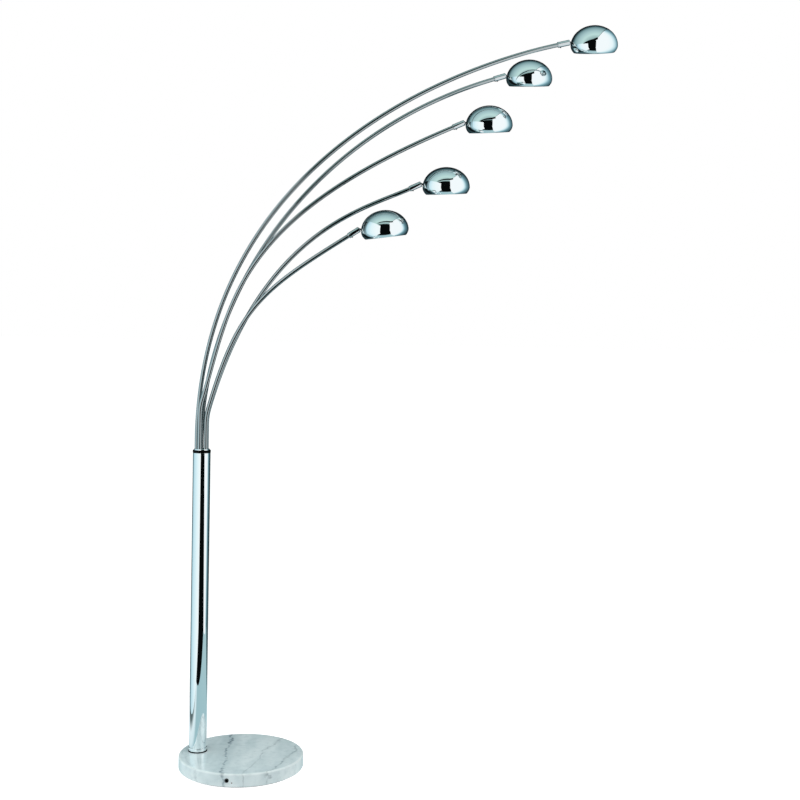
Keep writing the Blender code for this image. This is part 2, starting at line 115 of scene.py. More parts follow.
# Shades and what they hold
SHADE_RADIUS = 0.057
SHADE_DOME = 0.048
SHADE_TUCK = 0.017
SHADE_TUCK_CURVE = 0.0325
SHADE_WALL = 0.001
SHADE_HOLE_ABOVE_WIDEST = 0.009
STRAP_HALF_WIDTH = 0.0045
STRAP_THICKNESS = 0.001
STRAP_HEIGHT = 0.023
STRAP_TO_BALL = 0.0094
STRAP_KNEE = 0.030
NUT_RADIUS = 0.0042
NUT_THICKNESS = 0.0026
STUD_PAST_NUT = 0.0015
HOLDER_RADIUS = 0.0095
HOLDER_TOP = 0.035
HOLDER_BOTTOM = 0.014
BULB_RADIUS = 0.015
BULB_CENTRE = -0.002
BULB_CAP_RADIUS = 0.006

# bend is the height of an arm's bend, lean is measured from upright, pulls are the lengths of
# its curve's two handles, and nod is how far its shade looks up from level.
Arm = namedtuple("Arm", "number bend lean pulls nod")
ARMS = (
    Arm(1, 0.800, 0.5, (0.718, 0.167), 3.9),
    Arm(2, 0.800, 0.7, (0.325, 0.500), 3.4),
    Arm(3, 0.875, 16.9, (0.248, 0.594), 4.2),
    Arm(4, 0.852, 14.8, (0.461, 0.130), 3.1),
    Arm(5, 0.852, 15.0, (0.270, 0.253), 7.9),
)


def middle_of(box):
    """The middle of a box given by its two corners."""
    return (box[0] + box[1]) / 2


def radius_of(box):
    """The radius of an upright round piece."""
    return (box[1].x - box[0].x) / 2


def turn_to(direction):
    """The turn that lays Z along a direction, with Y as near up as it can be."""
    return Vector(direction).to_track_quat("Z", "Y").to_matrix().to_4x4()


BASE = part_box("marble_base")
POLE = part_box("pole_tube")
POLE_RADIUS = radius_of(POLE)
POLE_AXIS = Matrix.Translation((middle_of(POLE).x, middle_of(POLE).y, 0))


# ---------------------------------------------------------------- surfaces


def rounded(corners, radii):
    """A closed outline with its corners rounded.

    At each corner, an arc touches both sides. It starts and ends radius / tan(half the corner's
    angle) from the corner, and its centre lies on the corner's bisector.
    """
    corners = np.array(corners, float)
    count = len(corners)
    radii = np.broadcast_to(radii, count)
    out = []
    for k, here in enumerate(corners):
        before = corners[k - 1] - here
        after = corners[(k + 1) % count] - here
        before_length = np.hypot(*before)
        after_length = np.hypot(*after)
        before = before / before_length
        after = after / after_length
        half = np.arccos(np.clip(before @ after, -1, 1)) / 2
        radius = radii[k]
        if radius <= 0 or half > radians(88):
            out.append(here[None])
            continue
        run = min(radius / np.tan(half), before_length * 0.49, after_length * 0.49)
        radius = run * np.tan(half)
        middle = here + (before + after) / np.hypot(*(before + after)) * radius / np.sin(half)
        start = here + before * run - middle
        end = here + after * run - middle
        swing = pi - 2 * half
        t = np.linspace(0, 1, CORNER_STEPS + 1)[:, None]
        out.append(middle + (start * np.sin((1 - t) * swing) + end * np.sin(t * swing)) / np.sin(swing))
    return np.concatenate(out)


def surface(name, points, closed_rows=False):
    """A mesh over a grid of points, closed round its columns.

    A row whose points all meet becomes one point, a closed pole.
    """
    rows, columns, _ = points.shape
    index = np.arange(rows * columns).reshape(rows, columns)
    pole = np.ptp(points, axis=1).max(axis=1) < 1e-9
    index[pole] = index[pole, :1]
    if closed_rows:
        index = np.concatenate([index, index[:1]])
    index = np.concatenate([index, index[:, :1]], axis=1)
    quads = np.stack([index[:-1, :-1], index[1:, :-1], index[1:, 1:], index[:-1, 1:]], -1)
    quads = quads.reshape(-1, 4)
    top = quads[:, 0] == quads[:, 3]
    bottom = quads[:, 1] == quads[:, 2]
    faces = quads[~top & ~bottom].tolist()
    faces += quads[top & ~bottom][:, :3].tolist()
    faces += quads[bottom & ~top][:, [0, 1, 3]].tolist()
    used, remapped = np.unique(np.concatenate([np.ravel(f) for f in faces]), return_inverse=True)
    sizes = np.array([len(f) for f in faces])
    starts = np.concatenate([[0], np.cumsum(sizes)[:-1]])
    mesh = bpy.data.meshes.new(name)
    mesh.vertices.add(len(used))
    mesh.vertices.foreach_set("co", points.reshape(-1, 3)[used].astype(np.float32).ravel())
    mesh.loops.add(len(remapped))
    mesh.loops.foreach_set("vertex_index", remapped.astype(np.int32))
    mesh.polygons.add(len(faces))
    mesh.polygons.foreach_set("loop_start", starts.astype(np.int32))
    mesh.update(calc_edges=True)
    mesh.shade_smooth()
    mesh.set_sharp_from_angle(angle=SHARP_ANGLE)
    thing = bpy.data.objects.new(name, mesh)
    bpy.context.scene.collection.objects.link(thing)
    return thing


def placed(points, about):
    """Points moved from a piece's own space into the lamp's."""
    matrix = np.array(about)
    return points @ matrix[:3, :3].T + matrix[:3, 3]


def turned(name, outline, about, sides=FINE, six_sided=None):
    """An outline (r, z) turned about Z: r cos t, r sin t, z. The outline runs down its outer side.

    An outline that ends on the axis closes there in a pole, and any other closes on itself.
    Where six_sided is true, r is divided by the cosine of the angle from the nearest flat.
    """
    outline = np.array(outline, float)
    angle = np.linspace(0, 2 * pi, sides, endpoint=False)
    r = np.repeat(outline[:, :1], sides, axis=1)
    if six_sided is not None:
        flat = np.cos(pi / 6) / np.cos((angle % (pi / 3)) - pi / 6)
        r = np.where(np.array(six_sided, bool)[:, None], r * flat, r)
    points = np.stack([r * np.cos(angle), r * np.sin(angle), np.repeat(outline[:, 1:], sides, 1)], -1)
    open_ended = outline[0, 0] < 1e-9 and outline[-1, 0] < 1e-9
    return surface(name, placed(points, about), closed_rows=not open_ended)


def carried(name, path, radius, sides=COARSE):
    """A circle carried along a line in an upright plane: p + radius (cos a side + sin a up).

    side is level and square to the line's plane, and up is square to both side and the line.
    """
    path = np.array(path, float)
    way = np.gradient(path, axis=0)
    way /= np.linalg.norm(way, axis=1, keepdims=True)
    chord = path[-1] - path[0]
    side = np.array([-chord[1], chord[0], 0]) / np.hypot(chord[0], chord[1])
    up = np.cross(way, side)
    angle = np.linspace(0, 2 * pi, sides, endpoint=False)[None, :, None]
    points = path[:, None] + radius * (np.cos(angle) * side + np.sin(angle) * up[:, None])
    low = np.repeat(path[:1, None], sides, 1)
    high = np.repeat(path[-1:, None], sides, 1)
    return surface(name, np.concatenate([high, points[::-1], low]))


def bent_strip(name, line, half_width, thickness, about):
    """A strip along a line (x, z): a rounded rectangle, half_width each way in Y, carried along it."""
    line = np.array(line, float)
    way = np.gradient(line, axis=0)
    way /= np.linalg.norm(way, axis=1, keepdims=True)
    across = np.stack([-way[:, 1], way[:, 0]], -1)
    half = thickness / 2
    corners = [(-half_width, -half), (half_width, -half), (half_width, half), (-half_width, half)]
    section = rounded(corners, half * 0.6)
    x = line[:, None, 0] + across[:, None, 0] * section[:, 1]
    z = line[:, None, 1] + across[:, None, 1] * section[:, 1]
    y = np.repeat(section[None, :, 0], len(line), 0)
    points = np.stack([x, y, z], -1)
    low = np.repeat(np.array([[[line[0, 0], 0, line[0, 1]]]]), len(section), 1)
    high = np.repeat(np.array([[[line[-1, 0], 0, line[-1, 1]]]]), len(section), 1)
    return surface(name, placed(np.concatenate([low, points, high]), about))


def circle(middle_r, middle_z, radius, start, end, steps):
    """Points round an arc, from one angle in degrees to another."""
    angle = np.radians(np.linspace(start, end, steps + 1))
    return np.stack([middle_r + radius * np.cos(angle), middle_z + radius * np.sin(angle)], -1)


def cut(piece, tool):
    """The piece with the tool's shape taken out of it."""
    step = piece.modifiers.new("cut", "BOOLEAN")
    step.operation = "DIFFERENCE"
    step.solver = "EXACT"
    step.object = tool
    ready = piece.evaluated_get(bpy.context.evaluated_depsgraph_get())
    mesh = bpy.data.meshes.new_from_object(ready)
    piece.modifiers.clear()
    piece.data = mesh
    bpy.data.objects.remove(tool)
    mesh.shade_smooth()
    mesh.set_sharp_from_angle(angle=SHARP_ANGLE)


def drill(piece, name, radius, high, low, about):
    """A round hole in a piece, from one height to another on its own axis."""
    tool = turned(name, [(0, high), (radius, high), (radius, low), (0, low)], about, MEDIUM)
    cut(piece, tool)


# ---------------------------------------------------------------- finishes


class Shade:
    """A shader socket with arithmetic: an expression on sockets adds the Math nodes for it."""

    def __init__(self, tree, socket):
        self.tree = tree
        self.socket = socket

    def _math(self, operation, *values):
        return node(self.tree, "ShaderNodeMath", {"operation": operation}, dict(enumerate(values)))

    def __add__(self, other):
        return self._math("ADD", self, other)

    def __sub__(self, other):
        return self._math("SUBTRACT", self, other)

    def __rsub__(self, other):
        return self._math("SUBTRACT", other, self)

    def __mul__(self, other):
        return self._math("MULTIPLY", self, other)

    def __truediv__(self, other):
        return self._math("DIVIDE", self, other)

    def __pow__(self, other):
        return self._math("POWER", self, other)

    def __abs__(self):
        return self._math("ABSOLUTE", self)

    __radd__ = __add__
    __rmul__ = __mul__

    def between(self, low, high):
        """0 below low, 1 above high, and a smooth step between them."""
        settings = {"interpolation_type": "SMOOTHSTEP"}
        values = {"Value": self, "From Min": low, "From Max": high}
        return node(self.tree, "ShaderNodeMapRange", settings, values)


def node(tree, kind, settings=None, values=None, output=0):
    """A node of that type: its settings first, then its sockets' values or links."""
    made = tree.nodes.new(kind)
    for key, value in (settings or {}).items():
        if key == "stops":
            ramp = made.color_ramp.elements
            while len(ramp) < len(value):
                ramp.new(0.5)
            for stop, (position, colour) in zip(ramp, value):
                stop.position = position
                stop.color = (*colour, 1)
        else:
            setattr(made, key, value)
    for key, value in (values or {}).items():
        if isinstance(value, Shade):
            tree.links.new(value.socket, made.inputs[key])
        else:
            made.inputs[key].default_value = value
    return Shade(tree, made.outputs[output])


def blended(tree, amount, first, second):
    """A colour between two colours."""
    settings = {"data_type": "RGBA", "blend_type": "MIX"}
    first = first if isinstance(first, Shade) else (*first, 1)
    second = second if isinstance(second, Shade) else (*second, 1)
    return node(tree, "ShaderNodeMix", settings, {0: amount, 6: first, 7: second}, 2)


def new_finish(name):
    """A material and its node tree and Principled shader."""
    made = bpy.data.materials.new(name)
    made.use_nodes = True
    tree = made.node_tree
    return made, tree, tree.nodes["Principled BSDF"]


def wire(tree, shader, **sockets):
    """Sets or links a shader's sockets, named with _ for a space."""
    for key, value in sockets.items():
        socket = shader.inputs[key.replace("_", " ")]
        if isinstance(value, Shade):
            tree.links.new(value.socket, socket)
        elif hasattr(value, "__len__") and len(value) == 3:
            socket.default_value = (*value, 1)
        else:
            socket.default_value = value


def in_piece(tree, scale=(1, 1, 1), turn=(0, 0, 0)):
    """Object coordinates, scaled and turned."""
    place = node(tree, "ShaderNodeTexCoord", output=3)
    return node(tree, "ShaderNodeMapping", None, {"Vector": place, "Scale": scale, "Rotation": turn})


def noise(tree, place, scale, detail=3.0, roughness=0.5):
    """Smooth noise at a place, from 0 to 1."""
    values = {"Vector": place, "Scale": scale, "Detail": detail, "Roughness": roughness}
    return node(tree, "ShaderNodeTexNoise", None, values)


def handled(tree):
    """The roughness of a mirror finish: smooth, with faint handling marks."""
    marks = noise(tree, in_piece(tree), 28, 4, 0.6)
    return 0.022 + 0.03 * marks.between(0.45, 0.8)


def chrome(name, tint):
    """Mirror plating in one even tint."""
    made, tree, shader = new_finish(name)
    wire(tree, shader, Base_Color=tint, Metallic=1.0, Roughness=handled(tree))
    return made


def plain(name, colour, roughness, metallic=0.0, coat=0.0, grain=0.0, shine=0.5):
    """One colour, with a fine grain in its gloss. shine is how much its surface reflects."""
    made, tree, shader = new_finish(name)
    gloss = roughness
    if grain:
        gloss = roughness + grain * (noise(tree, in_piece(tree), GRAIN_SCALE) - 0.5)
    wire(tree, shader, Base_Color=colour, Metallic=metallic, Roughness=gloss, Coat_Weight=coat)
    wire(tree, shader, Specular_IOR_Level=shine)
    return made


# A vein runs from start to end on the base's top. width is half its own, strength is its depth of
# tone, and back is how much deeper it grows towards the far side.
Vein = namedtuple("Vein", "start end width strength back")
VEINS = (
    Vein((-0.046, 0.145), (-0.020, -0.150), 0.0052, 0.78, 1.0),
    Vein((0.074, 0.087), (0.028, -0.106), 0.0034, 0.42, 0.0),
    Vein((0.120, 0.030), (0.078, -0.130), 0.0034, 0.56, 0.0),
    Vein((-0.120, -0.060), (-0.080, -0.150), 0.0026, 0.24, 0.0),
)
VEIN_LEAN = 0.12
PALE_STONE = (0.73, 0.79, 0.79)
CLOUDED_STONE = (0.60, 0.68, 0.69)
GREY_STONE = (0.42, 0.51, 0.53)
HALO_STONE = (0.36, 0.44, 0.47)
VEIN_STONE = (0.15, 0.20, 0.23)
# The colour of a painted highlight along the top's rounded edge.
HIGHLIGHT_STONE = (0.90, 0.90, 0.86)
PIT_STONE = (0.12, 0.07, 0.05)
PIT = (-0.0008, -0.150, 0.013)


def apart(tree, place, axis):
    """One coordinate of a place: 0 for x, 1 for y, 2 for z."""
    return node(tree, "ShaderNodeSeparateXYZ", None, {"Vector": place}, axis)


def marble():
    """Pale polished marble: a clouded ground, and grey veins that wander along upright planes.

    A vein's tone falls with the distance to its plane, which noise bends. The top's rounded edge is
    painted a little paler, a painted highlight, and one small brown pit sits beside the cord's hole.
    """
    made, tree, shader = new_finish("polished_marble")
    place = in_piece(tree)
    x, y, z = (apart(tree, place, axis) for axis in range(3))
    slanted = in_piece(tree, (2.2, 0.8, 1.2), (radians(10), radians(16), radians(-28)))
    cloud = noise(tree, slanted, 9, 4, 0.5)
    fine_cloud = noise(tree, place, 60, 4, 0.6)
    ground = blended(tree, cloud.between(0.34, 0.66), CLOUDED_STONE, PALE_STONE)
    ground = blended(tree, fine_cloud.between(0.42, 0.75) * 0.4, ground, GREY_STONE)
    wander = 0.045 * (noise(tree, place, 13, 2) - 0.5) + 0.016 * (noise(tree, place, 80, 3) - 0.5)
    broken = noise(tree, place, 110, 3).between(0.30, 0.66)
    lean = VEIN_LEAN * abs(z - BASE[1].z)
    for vein in VEINS:
        start = Vector(vein.start)
        along = (Vector(vein.end) - start).normalized()
        offset = start.x * along.y - start.y * along.x
        away = abs(x * along.y - y * along.x + wander - offset + lean)
        deeper = y.between(-0.05, 0.12) * vein.back
        halo = (1 - away.between(0, vein.width * 6)) * (0.22 * vein.strength + 0.30 * deeper)
        ground = blended(tree, halo, ground, HALO_STONE)
        line = (1 - away.between(0, vein.width)) * broken * (vein.strength + 0.3 * deeper)
        ground = blended(tree, line, ground, VEIN_STONE)
    rim = (x * x + y * y) ** 0.5
    # The top's rounded edge is painted paler: a painted highlight.
    edge_highlight = rim.between(0.1445, 0.148) * z.between(0.0285, 0.032)
    ground = blended(tree, edge_highlight * 0.28, ground, HIGHLIGHT_STONE)
    pit = node(tree, "ShaderNodeVectorMath", {"operation": "DISTANCE"}, {0: place, 1: PIT}, 1)
    ground = blended(tree, 1 - pit.between(0.0008, 0.0020), ground, PIT_STONE)
    wire(tree, shader, Base_Color=ground, Roughness=0.16 + 0.1 * fine_cloud, Coat_Weight=0.25)
    wire(tree, shader, Coat_Roughness=0.05, IOR=1.52)
    return made


CHROME = chrome("mirror_chrome", (0.93, 0.967, 0.975))
# The arm tubes get a darker copy of the mirror chrome: painted shade standing in for their dark reflections.
SHADED_TUBE_CHROME = chrome("shaded_tube_chrome", (0.43, 0.47, 0.475))
# The sleeves get a dimmer copy of the mirror chrome: painted shade standing in for their darker reflections.
SHADED_SLEEVE_CHROME = chrome("shaded_sleeve_chrome", (0.66, 0.70, 0.71))
MARBLE = marble()
BLACK_GLOSS = plain("black_gloss", (0.0008, 0.0008, 0.0008), 0.42, shine=0.06)
BLACK_STEEL = plain("black_steel", (0.012, 0.012, 0.014), 0.34, metallic=0.4)
FELT = plain("felt", (0.02, 0.02, 0.021), 0.95)
RUBBER = plain("grommet_rubber", (0.012, 0.011, 0.010), 0.7)
# A near-black steel for the ball stud: painted shade for the dark gap where the sleeve meets the dome.
SHADED_BALL_STEEL = plain("shaded_ball_steel", (0.12, 0.13, 0.135), 0.2, metallic=1.0)
STEEL = plain("turned_steel", (0.56, 0.57, 0.58), 0.28, metallic=1.0, grain=0.12)
CERAMIC = plain("glazed_ceramic", (0.86, 0.85, 0.81), 0.14, coat=0.4)
OPAL = plain("opal_glass", (0.94, 0.94, 0.91), 0.10, coat=0.6)
FINISHES = {
    "chrome": CHROME, "marble": MARBLE, "black_ring": BLACK_GLOSS, "black_steel": BLACK_STEEL,
    "felt": FELT, "grommet_rubber": RUBBER, "steel": STEEL, "ceramic": CERAMIC, "bulb_glass": OPAL,
}


def finished(piece, slot, body, *nodes, finish=None):
    """Gives a piece its finish and its body, and stands it for its CAD nodes."""
    piece.data.materials.clear()
    piece.data.materials.append(finish or FINISHES[slot])
    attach(piece, body)
    if nodes:
        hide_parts(*nodes)
    return piece


# ---------------------------------------------------------------- base and pole


def make_base():
    """A thick disc with eased edges, drilled for the cord and counterbored under the pole."""
    radius = radius_of(BASE)
    low, high = BASE[0].z, BASE[1].z
    edge = BASE_EDGE
    outline = [(0, high), (radius * 0.55, high)]
    outline += circle(radius - edge, high - edge, edge, 90, 0, 10).tolist()
    outline += circle(radius - edge, low + edge, edge, 0, -90, 8).tolist()
    outline += [(0, low)]
    base = turned("marble_slab", outline, Matrix.Identity(4), BASE_SIDES)
    grommet = middle_of(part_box("cord_grommet"))
    outward = Vector((grommet.x, grommet.y, 0)).normalized()
    mouth = Matrix.Translation(outward * radius + Vector((0, 0, grommet.z))) @ turn_to(outward)
    drill(base, "grommet_drill", CORD_HOLE_RADIUS, PAST, -CORD_HOLE_DEPTH, mouth)
    drill(base, "counterbore_drill", COUNTERBORE_RADIUS, COUNTERBORE_TOP, -PAST, POLE_AXIS)
    finished(base, "marble", "stand", "marble_base")

    corners = [(LIP_RADIUS, LIP_OUT), (LIP_RADIUS, LIP_BEHIND), (GLAND_RADIUS, LIP_BEHIND)]
    corners += [(GLAND_RADIUS, -GLAND_DEPTH), (GLAND_BORE, -GLAND_DEPTH), (GLAND_BORE, LIP_OUT)]
    outline = rounded(corners, [0.0003, 0.0002, 0, 0, 0, 0.0003])
    ring = turned("cord_grommet_ring", outline, mouth, MEDIUM)
    finished(ring, "grommet_rubber", "stand", "cord_grommet")


def make_pole():
    """The foot's flange over a black seal painted as its contact shadow, the pole, the ring round its head and the
    drilled cap.
    """
    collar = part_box("foot_collar")
    low, high = collar[0].z, collar[1].z
    radius = radius_of(collar)
    inner = POLE_RADIUS + GAP
    join = low + SHADOW_SEAL_HEIGHT
    slim = inner + FLANGE_WALL
    corners = [(inner, high), (slim, high), (slim, join), (inner, join)]
    flange = turned("foot_flange", rounded(corners, [0, 0.0003, 0.0001, 0]), POLE_AXIS)
    finished(flange, "chrome", "stand", "foot_collar")
    # A black seal ring under the flange: painted shadow where the foot meets the stone.
    corners = [(inner, join - 0.0001), (radius, join - 0.0001), (radius, low), (inner, low)]
    shadow_seal = turned("foot_shadow_seal", rounded(corners, [0, 0.0004, 0.0002, 0]), POLE_AXIS)
    finished(shadow_seal, "black_ring", "stand")

    inner = POLE_RADIUS - POLE_WALL
    low, high = POLE[0].z, POLE[1].z
    outline = rounded([(inner, high), (POLE_RADIUS, high), (POLE_RADIUS, low), (inner, low)], 0.0004)
    finished(turned("pole", outline, POLE_AXIS, POLE_SIDES), "chrome", "stand", "pole_tube")

    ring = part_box("head_ring")
    radius = radius_of(ring)
    inner = inner + GAP
    corners = [(inner, ring[1].z), (radius, ring[1].z), (radius, ring[0].z), (inner, ring[0].z)]
    outline = rounded(corners, [0.0003, RING_EDGE, RING_EDGE, 0.0003])
    finished(turned("head_band", outline, POLE_AXIS), "black_ring", "stand", "head_ring")

    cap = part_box("pole_cap")
    low, high = cap[0].z, cap[1].z
    radius = radius_of(cap)
    outline = [(0, high), (radius * 0.6, high)]
    outline += circle(radius - CAP_EDGE, high - CAP_EDGE, CAP_EDGE, 90, 0, 6).tolist()
    outline += [(radius, low), (0, low)]
    disc = turned("head_plate", outline, POLE_AXIS)
    for arm in ARMS:
        root = Vector(JOINTS[f"arm_{arm.number}_swivel"]["pos_m"])
        about = Matrix.Translation((root.x, root.y, 0))
        drill(disc, "arm_drill", ARM_RADIUS + ARM_HOLE_PLAY, high + PAST, low - PAST, about)
    finished(disc, "chrome", "stand", "pole_cap")


# ---------------------------------------------------------------- arms and heads


def arm_places(arm):
    """An arm's root, the frame of its sleeve and the frame of its shade, from its joints."""
    swivel = JOINTS[f"arm_{arm.number}_swivel"]
    tilt = JOINTS[f"head_{arm.number}_tilt"]
    outward = Vector(JOINTS[f"head_{arm.number}_twist"]["axis"]).normalized()
    ball = Vector(tilt["pos_m"])
    start = ball - outward * (SLEEVE_LENGTH + SEAT_NOSE - BALL_TO_NOSE)
    sleeve = Matrix.Translation(start) @ turn_to(outward)
    across = Vector(tilt["axis"]).normalized()
    drop = asin(outward.z) - radians(arm.nod)
    ahead = Matrix.Rotation(drop, 3, across) @ outward
    up = ahead.cross(across)
    turn = Matrix((ahead, across, up)).transposed().to_4x4()
    return Vector(swivel["pos_m"]), sleeve, Matrix.Translation(ball) @ turn


def arm_line(arm, root, sleeve):
    """The arm's centre line: upright, a short bend, then one cubic curve out to the sleeve."""
    end = sleeve.translation
    outward = (sleeve.to_3x3() @ Vector((0, 0, 1))).normalized()
    level = Vector((end.x - root.x, end.y - root.y, 0))
    reach = level.length
    level.normalize()
    lean = radians(arm.lean)
    rise = asin(outward.z)
    start = np.array([0, arm.bend])
    stop = np.array([reach, end.z])
    near = start + arm.pulls[0] * np.array([sin(lean), cos(lean)])
    far = stop - arm.pulls[1] * np.array([cos(rise), sin(rise)])
    first = BEND_LENGTH / (3 * arm.pulls[0])

    def curve(t):
        t = np.atleast_1d(t)[:, None]
        s = 1 - t
        return s**3 * start + 3 * s * s * t * near + 3 * s * t * t * far + t**3 * stop

    low = np.array([0, arm.bend - BEND_LENGTH])
    after = curve(first)[0]
    t = np.linspace(0, 1, 20, endpoint=False)[:, None]
    bend = (1 - t) ** 2 * low + 2 * t * (1 - t) * start + t * t * after
    heights = np.linspace(POLE[1].z - ARM_BLOCK_HEIGHT, low[1], 6, endpoint=False)
    upright = np.stack([np.zeros(6), heights], -1)
    out = curve(np.linspace(first, 1, 260))
    inside = stop + IN_SLEEVE * np.array([cos(rise), sin(rise)])
    flat = np.concatenate([upright, bend, out, inside[None]])
    return np.array(root)[None] * [1, 1, 0] + flat[:, :1] * np.array(level) + flat[:, 1:] * [0, 0, 1]


def make_sleeve(arm, body, sleeve):
    """A turned sleeve with eased ends and a fine groove, and the set screw under it."""
    bore = ARM_RADIUS + GAP
    seat_bore = SEAT_RADIUS + GAP
    groove = SLEEVE_GROOVE
    corners = [(seat_bore, SLEEVE_LENGTH), (SLEEVE_RADIUS, SLEEVE_LENGTH)]
    corners += [(SLEEVE_RADIUS, groove + 0.0008), (SLEEVE_RADIUS - 0.0003, groove + 0.0006)]
    corners += [(SLEEVE_RADIUS - 0.0003, groove + 0.0002), (SLEEVE_RADIUS, groove)]
    corners += [(SLEEVE_RADIUS, 0), (bore, 0), (bore, TUBE_STOP), (THROAT_RADIUS, TUBE_STOP)]
    corners += [(THROAT_RADIUS, SEAT_STOP), (seat_bore, SEAT_STOP)]
    radii = [0.0002, 0.0007, 0, 0, 0, 0, 0.0005, 0.0002, 0, 0, 0, 0]
    piece = turned(f"sleeve_{arm.number}", rounded(corners, radii), sleeve, MEDIUM)
    # The sleeve's dimmer chrome is painted shade.
    finished(piece, "chrome", body, f"arm_{arm.number}_sleeve", finish=SHADED_SLEEVE_CHROME)

    under = sleeve @ Matrix.Translation((0, 0, SET_SCREW_FROM_END)) @ turn_to((0, -1, 0))
    top = SLEEVE_RADIUS + SET_SCREW_STANDS_OUT
    socket = 0.0009
    outline = [(0, top - 0.0012), (socket, top - 0.0011), (socket, top - 0.0001)]
    outline += [(socket + 0.00015, top), (SET_SCREW_RADIUS - 0.0003, top)]
    outline += [(SET_SCREW_RADIUS, top - 0.0003), (SET_SCREW_RADIUS, bore + 0.0002), (0, bore + 0.0002)]
    hexed = [0, 1, 1, 1, 0, 0, 0, 0]
    screw = turned(f"grub_screw_{arm.number}", outline, under, SCREW_SIDES, hexed)
    finished(screw, "black_steel", body, f"arm_{arm.number}_set_screw")


def make_ball_seat(arm, sleeve):
    """A bush in the sleeve's end, hollowed to hold the ball, with a nose that stands out."""
    nose = SLEEVE_LENGTH + SEAT_NOSE
    ball = nose - BALL_TO_NOSE
    hollow = BALL_RADIUS + GAP
    mouth = sqrt(hollow**2 - BALL_TO_NOSE**2)
    end = ball - hollow - SEAT_LENGTH_BEHIND
    front = np.degrees(asin(BALL_TO_NOSE / hollow))
    back = np.degrees(atan2(-sqrt(hollow**2 - SEAT_BORE_RADIUS**2), SEAT_BORE_RADIUS))
    outer = rounded([(mouth, nose), (SEAT_RADIUS, nose), (SEAT_RADIUS, end)], [0, 0.0009, 0])[1:]
    socket = circle(0, ball, hollow, back, front, 14)
    outline = np.concatenate([outer, [(SEAT_BORE_RADIUS, end)], socket])
    seat = turned(f"ball_seat_{arm.number}", outline, sleeve, MEDIUM)
    finished(seat, "black_steel", f"seat_{arm.number}", f"head_{arm.number}_ball_seat")


def make_ball_stud(arm, body, head):
    """The ball on its neck, a flange against the shade, a threaded end, and the lock nut on it."""
    level = head @ turn_to((1, 0, 0))
    nut_low = STRAP_TO_BALL + STRAP_THICKNESS + GAP
    end = nut_low + NUT_THICKNESS + STUD_PAST_NUT
    flange = NECK_RADIUS + 2 * GAP
    thread_low = BALL_TO_SHADE
    z = np.linspace(end - 0.0003, thread_low, 90)
    thread = NECK_RADIUS - 0.00012 * (1 - np.cos(2 * pi * (z - thread_low) / 0.0007))
    outline = [(0, end), (NECK_RADIUS - 0.0004, end)]
    outline += np.stack([thread, z], -1).tolist()
    outline += [(flange, BALL_TO_SHADE - 0.001), (flange, BALL_TO_SHADE - 0.0015)]
    outline += [(NECK_RADIUS, BALL_TO_SHADE - 0.0015)]
    outline += circle(0, 0, BALL_RADIUS, 62, -90, 24).tolist()
    stud = turned(f"ball_stud_{arm.number}", outline, level, SMALL)
    # The stud's dark steel is painted shade in the gap between sleeve and dome.
    finished(stud, "steel", body, f"head_{arm.number}_ball_stud", finish=SHADED_BALL_STEEL)

    r = NUT_RADIUS
    low, high = nut_low, nut_low + NUT_THICKNESS
    bore = NECK_RADIUS + GAP
    outline = [(bore, high), (r * 0.86, high), (r, high - 0.0005)]
    outline += [(r, low + 0.0005), (r * 0.86, low), (bore, low)]
    nut = turned(f"lock_nut_{arm.number}", outline, level, SMALL, [0, 0, 1, 1, 0, 0])
    finished(nut, "steel", body, f"head_{arm.number}_lock_nut")


def make_shade(arm, body, dome):
    """A spun dome: SHADE_RADIUS cos a, SHADE_DOME sin a, tucked in below its widest line.

    The inner face is the outer one less the wall. The lip between them is a half circle.
    """
    angle = np.linspace(pi / 2, 0, 64)
    outer = np.stack([SHADE_RADIUS * np.cos(angle), SHADE_DOME * np.sin(angle)], -1)
    outer[0, 0] = 0
    z = np.linspace(0, -SHADE_TUCK + SHADE_WALL / 2, 20)[1:]
    tuck = np.stack([SHADE_RADIUS * np.sqrt(1 - (z / SHADE_TUCK_CURVE) ** 2), z], -1)
    outer = np.concatenate([outer, tuck])
    way = np.gradient(outer, axis=0)
    way /= np.linalg.norm(way, axis=1, keepdims=True)
    inward = np.stack([way[:, 1], -way[:, 0]], -1)
    inner = outer + inward * SHADE_WALL
    inner[0] = (0, SHADE_DOME - SHADE_WALL)
    lip_middle = (outer[-1] + inner[-1]) / 2
    swing = np.linspace(0, pi, 9)[1:-1, None]
    lip = lip_middle + (outer[-1] - lip_middle) * np.cos(swing) + way[-1] * SHADE_WALL / 2 * np.sin(swing)
    outline = np.concatenate([outer, lip, inner[::-1]])
    outline[:, 1] -= SHADE_HOLE_ABOVE_WIDEST
    shade = turned(f"dome_{arm.number}", outline, dome, SHADE_SIDES)
    finished(shade, "chrome", body, f"head_{arm.number}_shade")


